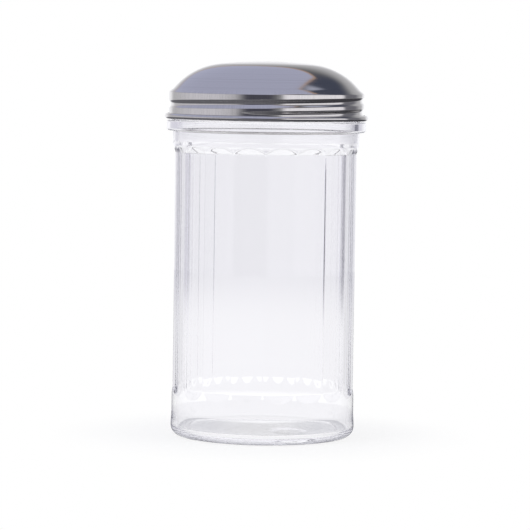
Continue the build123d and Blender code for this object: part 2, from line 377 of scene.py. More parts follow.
def new_material(name: str) -> tuple[bpy.types.Material, Graph, bpy.types.Node]:
    """A new material, its graph and its surface shader."""
    mat = bpy.data.materials.new(name)
    mat.use_nodes = True
    return mat, Graph(mat.node_tree), mat.node_tree.nodes["Principled BSDF"]


def group_tree(
    name: str, inputs: list[tuple[str, str, object]], outputs: list[tuple[str, str]]
) -> Graph:
    """A shader node group with its two ends.

    Args:
        name: Name of the group.
        inputs: Names, socket kinds and defaults of its inputs.
        outputs: Names and socket kinds of its outputs.

    Returns:
        The group's graph, with its two end nodes named In and Out.
    """
    tree = bpy.data.node_groups.new(name, "ShaderNodeTree")
    for label, kind, value in inputs:
        socket = tree.interface.new_socket(label, in_out="INPUT", socket_type=kind)
        socket.default_value = value
    for label, kind in outputs:
        tree.interface.new_socket(label, in_out="OUTPUT", socket_type=kind)
    graph = Graph(tree)
    graph.add("NodeGroupInput", name="In")
    graph.add("NodeGroupOutput", name="Out")
    return graph


def drawing_lines_group() -> bpy.types.NodeTree:
    """Fine lines that a drawing die leaves on a round sheet part.

    On the upright skirt the lines run up and down: the pattern is noise over the direction from
    the axis, (x, y) / radius, stretched along the height. On the dome they run round the axis:
    noise over the radius and height alone. The height chooses between the two.

    Returns:
        The group, with outputs Lines (0 to 1) and Mottle (0 to 1).
    """
    g = group_tree(
        "drawing_lines",
        [("Upright", NUMBER, 260.0), ("Round", NUMBER, 9000.0), ("Mottle Scale", NUMBER, 60.0)],
        [("Lines", NUMBER), ("Mottle", NUMBER)],
    )
    ends = g.tree.nodes["In"].outputs
    place = g.place()
    height = g.axes(place)["Z"]
    flat = g.vector("MULTIPLY", place, (1.0, 1.0, 0.0)).outputs[0]
    radius = g.vector("LENGTH", flat).outputs["Value"]
    turned = g.vector("SCALE", g.vector("NORMALIZE", flat).outputs[0])
    g.link(ends["Upright"], turned.inputs["Scale"])
    lift = g.point(0.0, 0.0, g.math("MULTIPLY", height, 160.0))
    upright = g.noise(g.vector("ADD", turned.outputs[0], lift).outputs[0], 1.0, 3.0)
    # one cell of this noise is a ring: its place is the radius and the height
    ring_at = g.point(*(g.math("MULTIPLY", value, ends["Round"]) for value in (radius, height)))
    rings = g.noise(ring_at, 1.0, 2.0)
    on_skirt = g.remap(height, 0.1285, 0.1300, 1.0, 0.0)
    lines = g.math("MULTIPLY_ADD", g.math("SUBTRACT", upright, rings), on_skirt, rings)
    out = g.tree.nodes["Out"].inputs
    g.link(lines, out["Lines"])
    g.link(g.noise(place, ends["Mottle Scale"], 4.0), out["Mottle"])
    return g.tree


def moulding_group() -> bpy.types.NodeTree:
    """The faint unevenness of moulded clear plastic.

    A broad ripple, noise stretched upwards five times, and a sparse fine grain of scuffs, which
    is small-scale noise cut off near its top.

    Returns:
        The group, with outputs Ripple (0 to 1) and Scuffs (0 to 1).
    """
    g = group_tree(
        "moulding",
        [("Ripple Scale", NUMBER, 55.0), ("Scuff Scale", NUMBER, 900.0)],
        [("Ripple", NUMBER), ("Scuffs", NUMBER)],
    )
    ends, out = g.tree.nodes["In"].outputs, g.tree.nodes["Out"].inputs
    place = g.place()
    tall = g.vector("MULTIPLY", place, (1.0, 1.0, 0.2)).outputs[0]
    g.link(g.noise(tall, ends["Ripple Scale"], 1.0), out["Ripple"])
    g.link(g.remap(g.noise(place, ends["Scuff Scale"], 3.0), 0.62, 0.78), out["Scuffs"])
    return g.tree


def edge_wear_group() -> bpy.types.NodeTree:
    """Bright rubbed edges: where the surface is sharply convex, broken up by a fine noise.

    Returns:
        The group, with input Amount and output Wear (0 to 1).
    """
    g = group_tree("edge_wear", [("Amount", NUMBER, 0.35)], [("Wear", NUMBER)])
    point = g.add("ShaderNodeNewGeometry").outputs["Pointiness"]
    broken = g.remap(g.noise(g.place(), 700.0, 2.0), 0.3, 0.7, 0.5, 1.0)
    worn = g.math("MULTIPLY", g.remap(point, 0.53, 0.62), broken)
    worn = g.math("MULTIPLY", worn, g.tree.nodes["In"].outputs["Amount"])
    g.link(worn, g.tree.nodes["Out"].inputs["Wear"])
    return g.tree


def shared(name: str, make: Callable[[], bpy.types.NodeTree]) -> bpy.types.NodeTree:
    """The node group of a name, made at its first use."""
    return bpy.data.node_groups.get(name) or make()


@dataclass(frozen=True)
class ClearPlastic:
    """Clear moulded plastic with a slight cool cast in its thickness."""

    tint: Triple = (0.99, 0.99, 0.995)
    depth_tint: Triple = (0.80, 0.80, 0.92)
    depth_density: float = 4.0
    ior: float = 1.52
    smooth: float = 0.012
    scuffed: float = 0.09
    ripple_height: float = 0.00004

    def material(self) -> bpy.types.Material:
        """Builds the material."""
        mat, g, shader = new_material("clear_plastic")
        shader.inputs["Transmission Weight"].default_value = 1.0
        shader.inputs["Metallic"].default_value = 0.0
        shader.inputs["IOR"].default_value = self.ior
        shader.inputs["Base Color"].default_value = (*self.tint, 1.0)
        marks = g.group(shared("moulding", moulding_group)).outputs
        rough = g.remap(marks["Scuffs"], 0.0, 1.0, self.smooth, self.scuffed)
        g.link(rough, shader.inputs["Roughness"])
        g.link(g.bump(marks["Ripple"], self.ripple_height), shader.inputs["Normal"])
        values = {"Color": self.depth_tint, "Density": self.depth_density}
        depth = g.add("ShaderNodeVolumeAbsorption", values)
        g.link(depth.outputs[0], g.tree.nodes["Material Output"].inputs["Volume"])
        return mat


@dataclass(frozen=True)
class Steel:
    """Bright stainless steel with lines from its making, faint mottle and worn edges."""

    name: str
    finish: Finish
    colour: Triple = (0.69, 0.675, 0.665)
    shade: Triple = (0.60, 0.59, 0.585)
    worn: Triple = (0.78, 0.77, 0.76)
    rough_low: float = 0.07
    rough_high: float = 0.14
    line_height: float = 0.000001

    def material(self) -> bpy.types.Material:
        """Builds the material."""
        mat, g, shader = new_material(self.name)
        shader.inputs["Metallic"].default_value = 1.0
        scales = dict(zip(("Upright", "Mottle Scale"), self.finish.value))
        marks = g.group(shared("drawing_lines", drawing_lines_group), scales).outputs
        wear = g.group(shared("edge_wear", edge_wear_group)).outputs["Wear"]
        lines, mottle = marks["Lines"], marks["Mottle"]
        tone = g.blend(g.remap(lines, 0.3, 0.72), self.shade, self.colour)
        g.link(g.blend(wear, tone, self.worn), shader.inputs["Base Color"])
        rough = g.remap(mottle, 0.35, 0.68, self.rough_low, self.rough_high)
        g.link(rough, shader.inputs["Roughness"])
        g.link(g.bump(lines, self.line_height), shader.inputs["Normal"])
        return mat


# ---- the dome's two arcs
@dataclass(frozen=True)
class DomeLine:
    """The lid's dome in section: a flat crown arc, then a tighter arc out to the shoulder."""

    crown_radius: float = 166.0
    crown_edge: float = 17.4
    edge_arc: float = 25.9
    edge_x: float = 14.68518
    edge_z: float = 113.48727
    dome_edge: float = 34.75

    @property
    def joint_slope(self) -> float:
        """Angle of the face below level, in radians, where the two arcs meet."""
        return math.asin(self.crown_edge / self.crown_radius)

    @property
    def crown_z(self) -> float:
        """Height of the crown arc's centre."""
        return self.edge_z - (self.crown_radius - self.edge_arc) * math.cos(self.joint_slope)

    def slope(self, radius: float) -> float:
        """Angle of the tighter arc's face below level, in radians, at a distance from the axis."""
        return math.asin((radius - self.edge_x) / self.edge_arc)

    def lifted(self, slope: Array, lift: float) -> tuple[Array, Array]:
        """Radius and height on the tighter arc at a slope, lifted off the face along its normal."""
        arm = self.edge_arc + lift
        return self.edge_x + arm * np.sin(slope), self.edge_z + arm * np.cos(slope)

    def height(self, radius: Array, lift: float = 0.0) -> Array:
        """Height of the face, lifted off it along its normal, at a distance from the axis."""
        crown = self.crown_z + np.sqrt(np.maximum((self.crown_radius + lift) ** 2 - radius**2, 0.0))
        arm = self.edge_arc + lift
        edge = self.edge_z + np.sqrt(np.maximum(arm**2 - (radius - self.edge_x) ** 2, 0.0))
        joint = self.crown_edge * (1.0 + lift / self.crown_radius)
        return np.where(radius < joint, crown, edge)


# ---- jar
@dataclass
class PanelledJar:
    """The clear jar: panels all round, collar ring, screw finish, recessed base with a mark."""

    heel: float = 34.4
    body: float = 34.15
    bore: float = 32.7
    floor_top: float = 2.7
    recess: Pair = (27.25, 1.2)
    mark: Triple = (9.7, -12.0, 5.9)
    mark_depth: float = 0.7
    panels: int = 18
    apothem: float = 33.7
    panel_low: float = 18.4
    panel_high: float = 106.3
    runout_high: float = 0.43
    runout_low: float = 0.16
    runout_soft: float = 0.12
    ridge_round: float = 0.09
    collar: Triple = (37.15, 114.2, 118.1)
    finish_radius: float = 34.5
    mouth: float = 33.2
    rim: Pair = (33.8, 129.0)
    pitch: float = 4.2
    thread_low: float = 122.0
    thread_angle: float = -110.0
    thread_turns: float = 1.35
    thread_round: float = 1.1
    thread_sunk: float = 0.65
    thread_taper: float = 0.45
    seam_angle: float = -50.0
    seam: Pair = (0.26, 0.17)
    finish: ClearPlastic = ClearPlastic()

    def angles(self) -> Array:
        """Directions of the columns, closer together near each ridge and seam, in radians."""
        side = np.array([2.0, 4.0, 6.0, 7.5, 8.5, 9.2, 9.6])
        half = np.concatenate([-side, [0.0], side, [10.0]]) * (18.0 / self.panels)
        near = np.array([0.1, 0.2, 0.3, 0.5, 0.62])
        near = np.concatenate([-near, near])
        centres = np.arange(self.panels)[:, None] * 360.0 / self.panels
        seams = np.array([[self.seam_angle], [self.seam_angle + 180.0]])
        columns = np.concatenate([(centres + half).ravel(), (seams + near).ravel()]) % 360.0
        return np.radians(np.unique(columns))

    def seam_swell(self, angle: Array) -> Array:
        """The mould's fine parting seam: a low bell-shaped bead on two opposite ridges."""
        off = np.mod(angle - math.radians(self.seam_angle) + math.pi / 2.0, math.pi) - math.pi / 2.0
        return self.seam[0] * np.exp(-0.5 * (off * self.body / self.seam[1]) ** 2)

    def outer_profile(self) -> Array:
        """Half section from the middle of the underside, up the outside, to the top of the rim."""
        recess, depth = self.recess
        collar, under, over = self.collar
        corners = [
            (0.0, depth), (recess, depth), (recess + 1.0, 0.0), (self.heel, 0.0), (self.heel, 5.0),
            (self.body, 9.0), (self.body, 105.8), (34.8, 108.05), (34.95, under), (collar, under),
            (collar, over), (self.finish_radius, over), (self.finish_radius, self.rim[1]), self.rim,
        ]
        profile = filleted(corners, [0.4, 0.4, 3.7, 25.0, 25.0, 3.0, 15.0, 0.4, 0.7, 0.7, 0.4, 0.5])
        profile = with_levels(profile, 0, [2.0, 5.0, *np.arange(8.4, 22.0, 0.48), 24.0, 26.0])
        low = np.arange(15.0, 19.3, 0.20)
        high = np.arange(105.6, 110.2, 0.18)
        thread = np.arange(119.0, 128.7, 0.32)
        return with_levels(profile, 1, [*low, 30.0, 55.0, 80.0, 100.0, *high, 112.0, *thread])

    def inner_profile(self) -> Array:
        """Half section from the rim down the inside to the middle of the floor."""
        corners = [
            self.rim, (self.mouth, self.rim[1]), (self.mouth, 110.5), (self.bore, 106.5),
            (self.bore, self.floor_top), (0.0, self.floor_top),
        ]
        profile = with_levels(filleted(corners, [0.5, 8.0, 8.0, 1.4]), 0, [10.0, 20.0])
        return with_levels(profile, 1, [30.0, 55.0, 80.0, 118.0])[1:]

    def panel_radius(self, angle: Array, height: Array) -> Array:
        """Distance from the axis to the panels' planes.

        A panel's plane is at apothem / cos(angle from its middle), and the apothem grows in
        proportion to the height past either end, so the plane runs out of the round body there.

        Args:
            angle: Directions of the columns.
            height: Heights of the rows.

        Returns:
            Array of rows by columns.
        """
        wide = FULL / self.panels
        off = np.mod(angle + wide / 2.0, wide) - wide / 2.0
        over = 0.5 * (height - self.panel_high + np.hypot(height - self.panel_high, self.runout_soft))
        under = 0.5 * (self.panel_low - height + np.hypot(self.panel_low - height, self.runout_soft))
        flat = self.apothem + self.runout_high * over + self.runout_low * under
        return flat[:, None] / np.cos(off)[None]

    def thread_swell(self, angle: Array, height: Array) -> Array:
        """How far the thread stands out of the screw finish.

        The ridge's middle climbs one pitch a turn, and its section is the cap of a circle whose
        centre is sunk below the finish. Both ends taper off over thread_taper radians.

        Args:
            angle: Directions of the columns.
            height: Heights of the rows.

        Returns:
            Array of rows by columns, 0 away from the ridge.
        """
        swell = np.zeros((len(height), len(angle)))
        total = self.thread_turns * FULL
        base = np.mod(angle - math.radians(self.thread_angle), FULL)
        for along in (base, base + FULL):
            gap = height[:, None] - (self.thread_low + self.pitch * along / FULL)[None]
            cap = np.sqrt(np.maximum(self.thread_round**2 - gap**2, 0.0)) - self.thread_sunk
            taper = smooth_step(np.minimum(along, total - along), 0.0, self.thread_taper)
            swell = np.maximum(swell, np.maximum(cap, 0.0) * taper[None])
        return swell

    def build(self) -> bpy.types.Object:
        """Makes the jar as one closed wall and dresses it."""
        angle = self.angles()
        outer, inner = self.outer_profile(), self.inner_profile()
        run, rise = outer.T
        radius, height = spread(outer, len(angle))
        wall = (run > 33.0) & (rise > 5.0) & (rise < 113.0)
        radius[wall] = soft_min(radius[wall], self.panel_radius(angle, rise[wall]), self.ridge_round)
        along = smooth_step(rise[wall], self.panel_low, self.panel_low + 6.0)
        along = along * (1.0 - smooth_step(rise[wall], self.panel_high - 4.0, self.panel_high))
        radius[wall] += along[:, None] * self.seam_swell(angle)[None]
        screw = (rise > 118.6) & (rise < 128.9) & (run > 34.4)
        radius[screw] += self.thread_swell(angle, rise[screw])
        under = (np.abs(rise - self.recess[1]) < 0.1) & (run < 27.0)
        across = np.hypot(
            radius[under] * np.cos(angle)[None] - self.mark[0],
            radius[under] * np.sin(angle)[None] - self.mark[1],
        )
        edge = smooth_step(across, self.mark[2] - 0.5, self.mark[2] + 0.3)
        height[under] += self.mark_depth * (1.0 - edge)
        inside = spread(inner, len(angle))
        radius, height = np.concatenate([radius, inside[0]]), np.concatenate([height, inside[1]])
        jar = closed_turning("panelled_jar", about_axis(radius, height, angle))
        jar.data.materials.append(self.finish.material())
        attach(jar, "jar")
        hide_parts("jar")
        LOG.info("jar: %d faces", len(jar.data.polygons))
        return jar


# ---- lid
@dataclass
class ScrewLid:
    """The drawn lid: one sheet with a dome, a rolled thread, a curled edge and two ears."""

    dome: DomeLine = DomeLine()
    sheet: float = 0.55
    skirt: float = 36.45
    shoulder: float = 128.661
    shoulder_round: float = 0.7
    curl: Pair = (36.95, 119.5)
    curl_radius: float = 1.05
    curl_turn: float = 282.0
    pitch: float = 4.2
    roll_low: float = 120.95
    roll_start: float = -65.0
    roll_turn: float = 460.8
    roll_centre: float = 37.25
    roll_round: float = 1.5
    roll_fade: float = 50.0
    roll_lips: float = 0.3
    columns: int = 340
    mouth_half: float = 11.1
    mouth_top: float = 24.6
    mouth_step: float = 28.2
    mouth_end: float = 33.0
    mouth_cut: Pair = (129.6, 142.0)
    ear: Triple = (6.25, 1.2, 0.5)
    ear_foot: float = 0.9
    ear_flare: float = 0.25
    finish: Steel = Steel("lid_steel", Finish.DRAWN)

    @property
    def face(self) -> float:
        """Radius of the skirt sheet's middle."""
        return self.skirt - self.sheet / 2.0

    def profile(self) -> Array:
        """Half section of the sheet's middle, from the crown's centre down to the curl's end."""
        inset = self.sheet / 2.0
        dome = self.dome
        turn, rim = dome.joint_slope, dome.slope(dome.dome_edge)
        crown_turn = np.linspace(0.0, turn, 12)[:-1]
        arm = dome.crown_radius - inset
        crown = np.stack([arm * np.sin(crown_turn), dome.crown_z + arm * np.cos(crown_turn)], 1)
        edge = np.stack(dome.lifted(np.linspace(turn, rim, 30), -inset), 1)
        last_x, last_z = edge[-1]
        corner = (self.face, self.shoulder - inset * 1.2)
        lower = filleted(
            [(last_x, last_z), corner, (self.face, self.curl[1])], [self.shoulder_round - inset]
        )
        lower = with_levels(lower, 1, np.arange(self.curl[1] + 0.2, 128.2, 0.2))[1:]
        ang = np.radians(180.0 + np.linspace(0.0, self.curl_turn, 30)[1:])
        arm = self.curl_radius - inset
        curl = np.array(self.curl) + arm * np.stack([np.cos(ang), np.sin(ang)], 1)
        return np.concatenate([crown, edge, lower, curl])

    def roll_depth(self, angle: Array, height: Array) -> Array:
        """How far the rolled thread sinks into the skirt.

        The groove's middle climbs one pitch a turn. Its section is the part of a circle that
        lies inside the skirt, with the lips rounded, and it fades at both ends.

        Args:
            angle: Directions of the columns, from -pi to pi.
            height: Heights of the rows.

        Returns:
            Depth as an array of rows by columns.
        """
        arm = self.roll_round + self.sheet / 2.0
        depth = np.zeros((len(height), len(angle)))
        for lap in (0.0, 360.0):
            along = np.degrees(angle) + lap - self.roll_start
            gap = height[:, None] - (self.roll_low + self.pitch * along / 360.0)[None]
            bottom = self.roll_centre - np.sqrt(np.maximum(arm**2 - gap**2, 1e-4))
            cut = self.face - soft_min(np.full_like(bottom, self.face), bottom, self.roll_lips)
            start = smooth_step(along, -self.roll_fade, 10.0)
            end = smooth_step(along, self.roll_turn - 10.0, self.roll_turn + self.roll_fade)
            depth = depth + np.maximum(cut, 0.0) * (start * (1.0 - end))[None]
        return depth

    def shell(self) -> bpy.types.Object:
        """The sheet from crown to curl, with the pour opening cut through its rear slope."""
        profile = self.profile()
        angle = np.linspace(-math.pi, math.pi, self.columns, endpoint=False)
        radius, height = spread(profile, self.columns)
        upright = (np.abs(profile[:, 0] - self.face) < 1e-6) & (profile[:, 1] > self.curl[1] - 1e-6)
        radius[upright] -= self.roll_depth(angle, profile[upright, 1])
        rings = about_axis(radius, height, angle)
        points = np.concatenate([rings[1:].reshape(-1, 3), rings[0, :1]])
        sides = grid_faces(len(rings) - 1, self.columns, closed=True)[:, ::-1]
        crown = pole_faces(len(points) - 1, 0, self.columns, False)
        shell = thickened(mesh_object("lid_shell_sheet", points, [sides, crown]), self.sheet)
        cutter = self.opening_cutter()
        cut = shell.modifiers.new("opening", "BOOLEAN")
        cut.operation = "DIFFERENCE"
        cut.solver = "EXACT"
        cut.object = cutter
        applied(shell, 35.0)
        bpy.data.objects.remove(cutter)
        return shell

    def opening_outline(self) -> Array:
        """Plan of the pour opening: a neck under the knuckle, a wide mouth and a round end."""
        half, neck, top, step = self.mouth_half, self.ear[0], self.mouth_top, self.mouth_step
        reach = math.asin(half / self.mouth_end)
        ends = [
            (self.mouth_end * math.sin(a), self.mouth_end * math.cos(a))
            for a in np.linspace(reach, -reach, 25)
        ]
        right = [(0.0, top), (neck, top), (neck, step), (half, step)]
        left = [(-half, step), (-neck, step), (-neck, top), (0.0, top)]
        radii = [0.9, 0.9, 0.9, 0.7, *([0.0] * 23), 0.7, 0.9, 0.9, 0.9]
        return filleted([*right, *ends, *left], radii, 15.0)[:-1]

    def opening_cutter(self) -> bpy.types.Object:
        """An upright prism over the opening's plan, tall enough to pass through the dome."""
        plan = self.opening_outline()
        count = len(plan)
        ends = [np.column_stack([plan, np.full(count, height)]) for height in self.mouth_cut]
        i = np.arange(count)
        k = (i + 1) % count
        sides = np.stack([i, k, k + count, i + count], 1)
        faces = [sides, i[::-1][None], (i + count)[None]]
        tool = mesh_object("opening_cutter", np.concatenate(ends), faces)
        tool.hide_render = True
        return tool

    def ear_sheet(self, side: int) -> bpy.types.Object:
        """One ear of the hinge.

        The strip leaves the dome level, bends up by a quarter circle, and stands upright with a
        round top about the pin: its half length is the chord of that circle above the pin.

        Args:
            side: 1 for +X or -1 for -X.

        Returns:
            The ear's object.
        """
        inside, half, bend = self.ear
        middle = inside + self.sheet / 2.0
        across = np.linspace(-1.0, 1.0, 25)
        reach = half * across
        ground = self.dome.height(np.hypot(middle, HINGE[0] + reach), -self.sheet / 2.0)
        top = HINGE[1] + half * np.sqrt(np.maximum(1.0 - across**2, 0.0))
        turn = np.linspace(0.0, math.pi / 2.0, 9)[:, None]
        out = 1.0 - np.sin(turn)
        share = np.linspace(0.0, 1.0, 14)[1:, None]
        rise = bend * (1.0 - np.cos(turn))
        grid = sheet_rows(
            (middle + bend + self.ear_foot, HINGE[0] + reach, ground[None] - 0.02),
            (middle + bend * out, HINGE[0] + reach * (1.0 + self.ear_flare * out), ground + rise),
            (middle, HINGE[0] + reach, (ground + bend) * (1.0 - share) + top * share),
        )
        grid[..., 0] *= side
        name = f"hinge_ear_{'right' if side > 0 else 'left'}"
        ear = mesh_object(name, grid.reshape(-1, 3), [grid_faces(*grid.shape[:2])])
        return applied(thickened(ear, self.sheet), 50.0)

    def build(self) -> list[bpy.types.Object]:
        """Makes the lid's sheet and ears, and dresses them."""
        steel = self.finish.material()
        pieces = [self.shell(), self.ear_sheet(1), self.ear_sheet(-1)]
        for piece in pieces:
            piece.data.materials.clear()
            piece.data.materials.append(steel)
            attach(piece, "lid")
            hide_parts("lid_shell")
            LOG.info("%s: %d faces", piece.name, len(piece.data.polygons))
        return pieces


# ---- hinge pin and flap
@dataclass
class HingePin:
    """The wire pin with peened heads outside the ears."""

    wire: float = 0.5
    head: Pair = (0.85, 0.35)
    reach: float = 6.8
    columns: int = 40
    finish: Steel = Steel("pin_steel", Finish.WIRE, rough_low=0.16, rough_high=0.28)

    def build(self) -> bpy.types.Object:
        """Turns the pin's profile about its own axis: a rod, and a low round dome at each end."""
        turn = np.linspace(0.0, math.pi / 2.0, 9)
        wide, tall = self.head
        bulge = np.stack([wide * np.sin(turn), self.reach + tall * (0.25 + 0.75 * np.cos(turn))], 1)
        half = np.concatenate([bulge, [[wide, self.reach + 0.02], [self.wire, self.reach]]])
        profile = np.concatenate([half, half[::-1] * np.array([1.0, -1.0])])
        radius, along = spread(profile, self.columns)
        ang = np.linspace(0.0, FULL, self.columns, endpoint=False)
        across, up = HINGE[0] + radius * np.cos(ang), HINGE[1] + radius * np.sin(ang)
        rings = np.stack([along, across, up], -1)
        pin = closed_turning("hinge_pin_wire", rings)
        pin.data.materials.append(self.finish.material())
        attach(pin, "lid")
        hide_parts("hinge_pin")
        LOG.info("pin: %d faces", len(pin.data.polygons))
        return pin


@dataclass
class PourFlap:
    """The pressed flap: a rolled knuckle, a tongue, a blade that follows the dome, and a lip."""

    dome: DomeLine = DomeLine()
    hinge_slope: float = 23.4692
    sheet: float = 0.5
    gap: float = 0.3
    bore: float = 0.56
    roll_turn: float = 318.0
    knuckle: float = 6.0
    half: float = 12.7
    top: float = 27.3
    end: float = 33.7
    lip: Pair = (1.4, 60.0)
    corner: float = 1.5
    lead: float = 0.6
    finish: Steel = Steel("flap_steel", Finish.PRESSED, rough_low=0.1, rough_high=0.2)

    @property
    def lift(self) -> float:
        """Height of the sheet's middle over the dome's face."""
        return self.gap + self.sheet / 2.0

    def meridian(self) -> Array:
        """Section of the blade's middle as (radius, height): along the dome, then up the lip."""
        first, last = self.dome.slope(self.top - self.lead), self.dome.slope(self.end)
        run = np.stack(self.dome.lifted(np.linspace(first, last, 40), self.lift), 1)
        centre = np.array(self.dome.lifted(np.array(last), self.gap + self.lip[0]))
        ang = np.radians(270.0 - math.degrees(last) + np.linspace(0.0, self.lip[1], 12)[1:])
        arm = self.lip[0] - self.sheet / 2.0
        return np.concatenate([run, centre + arm * np.stack([np.cos(ang), np.sin(ang)], 1)])

    def half_width(self, from_top: Array, from_end: Array) -> Array:
        """Half width of the blade, its four corners rounded by quarter circles."""
        near = np.clip(np.minimum(from_top, from_end), 0.0, self.corner)
        return self.half - self.corner + np.sqrt(self.corner**2 - (self.corner - near) ** 2)

    def knuckle_rows(self, across: Array) -> Array:
        """The roll and the tongue: a circle about the pin, then down to the blade's top edge.

        The tongue is the dome's own arc carried straight across, which turns into the round
        dome's face as it nears the blade.

        Args:
            across: Places of the columns along X.

        Returns:
            Array (rows, columns, 3).
        """
        arm = self.bore + self.sheet / 2.0
        roll = np.radians(270.0 - self.hinge_slope - np.linspace(self.roll_turn, 0.0, 49))[:, None]
        circle = (across, HINGE[0] + arm * np.cos(roll), HINGE[1] + arm * np.sin(roll))
        start = self.dome.lifted(math.radians(self.hinge_slope), self.lift)[0]
        y = np.linspace(start, self.top, 16)[1:, None]
        share = smooth_step(y, y[0, 0], self.top)
        rounded = self.dome.height(np.hypot(across, y), self.lift)
        tongue = (across, y, self.dome.height(y, self.lift) * (1.0 - share) + rounded * share)
        return sheet_rows(circle, tongue)

    def blade_rows(self, across: Array) -> Array:
        """The blade: each column keeps its own X and follows the meridian from top edge to lip.

        Args:
            across: Places of the columns along X at the blade's full width.

        Returns:
            Array (rows, columns, 3).
        """
        line = self.meridian()
        run = np.concatenate([[0.0], np.cumsum(np.linalg.norm(np.diff(line, axis=0), axis=1))])
        share = np.interp(np.arange(40), [0, 11, 26, 39], [0.0, 0.2, 0.8, 1.0])
        length = run[-1] - np.interp(np.hypot(across, self.top), line[:, 0], run).mean()
        wide = self.half_width(share * length, (1.0 - share) * length)[:, None]
        inside = np.minimum(np.abs(across), self.knuckle)
        outside = (np.abs(across) - inside) / (self.half - self.knuckle)
        x = np.sign(across) * (inside + outside * (wide - self.knuckle))
        first = np.interp(np.hypot(x, self.top), line[:, 0], run)
        along = first + share[:, None] * (run[-1] - first)
        radius, height = (np.interp(along, run, line[:, k]) for k in (0, 1))
        return np.stack([x, np.sqrt(np.maximum(radius**2 - x**2, 0.0)), height], -1)

    def build(self) -> bpy.types.Object:
        """Joins the two grids along the blade's top edge, thickens the sheet and dresses it."""
        middle = np.linspace(-self.knuckle, self.knuckle, 25)
        wing = np.linspace(self.knuckle, self.half, 15)[1:]
        across = np.concatenate([-wing[::-1], middle, wing])
        upper, lower = self.knuckle_rows(middle), self.blade_rows(across)
        count = upper.shape[0] * upper.shape[1]
        points = np.concatenate([upper.reshape(-1, 3), lower.reshape(-1, 3)])
        faces = [grid_faces(*upper.shape[:2]), grid_faces(*lower.shape[:2], start=count)]
        # the tongue's last row is the middle of the blade's first one
        joined = np.arange(len(middle))
        points[count - len(middle) + joined] = points[count + len(wing) + joined]
        same = np.arange(len(points))
        same[count + len(wing) + joined] = count - len(middle) + joined
        flap = mesh_object("pour_flap", points, [same[np.concatenate(faces)]])
        applied(thickened(flap, self.sheet), 50.0)
        flap.data.materials.append(self.finish.material())
        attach(flap, "flap")
        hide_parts("flap")
        LOG.info("flap: %d faces", len(flap.data.polygons))
        return flap


# ---- studio
@dataclass(frozen=True)
class SoftPanel:
    """A patch of the studio's light, bounded by planes through the object.

    Each plane is (nx, ny, nz, offset, softness): the patch is where n . direction + offset is
    positive, and its border is softness wide.
    """

    colour: Triple
    planes: tuple[Plane, ...]


def below(height: float, soft: float) -> Plane:
    """A plane that keeps directions under a height on the unit sphere."""
    return (0.0, 0.0, -1.0, height, soft)


def above(height: float, soft: float) -> Plane:
    """A plane that keeps directions over a height on the unit sphere."""
    return (0.0, 0.0, 1.0, -height, soft)


def between(low: float, high: float, soft: float, soft_high: float | None = None) -> tuple:
    """Two planes that keep directions between two bearings.

    Args:
        low: First bearing in degrees, from +Y towards +X.
        high: Second bearing, under 180 degrees further round.
        soft: Width of the borders.
        soft_high: Width of the second border where it differs.

    Returns:
        The planes for a SoftPanel.
    """
    a, b = math.radians(low), math.radians(high)
    return (
        (math.cos(a), -math.sin(a), 0.0, 0.0, soft),
        (-math.cos(b), math.sin(b), 0.0, 0.0, soft if soft_high is None else soft_high),
    )


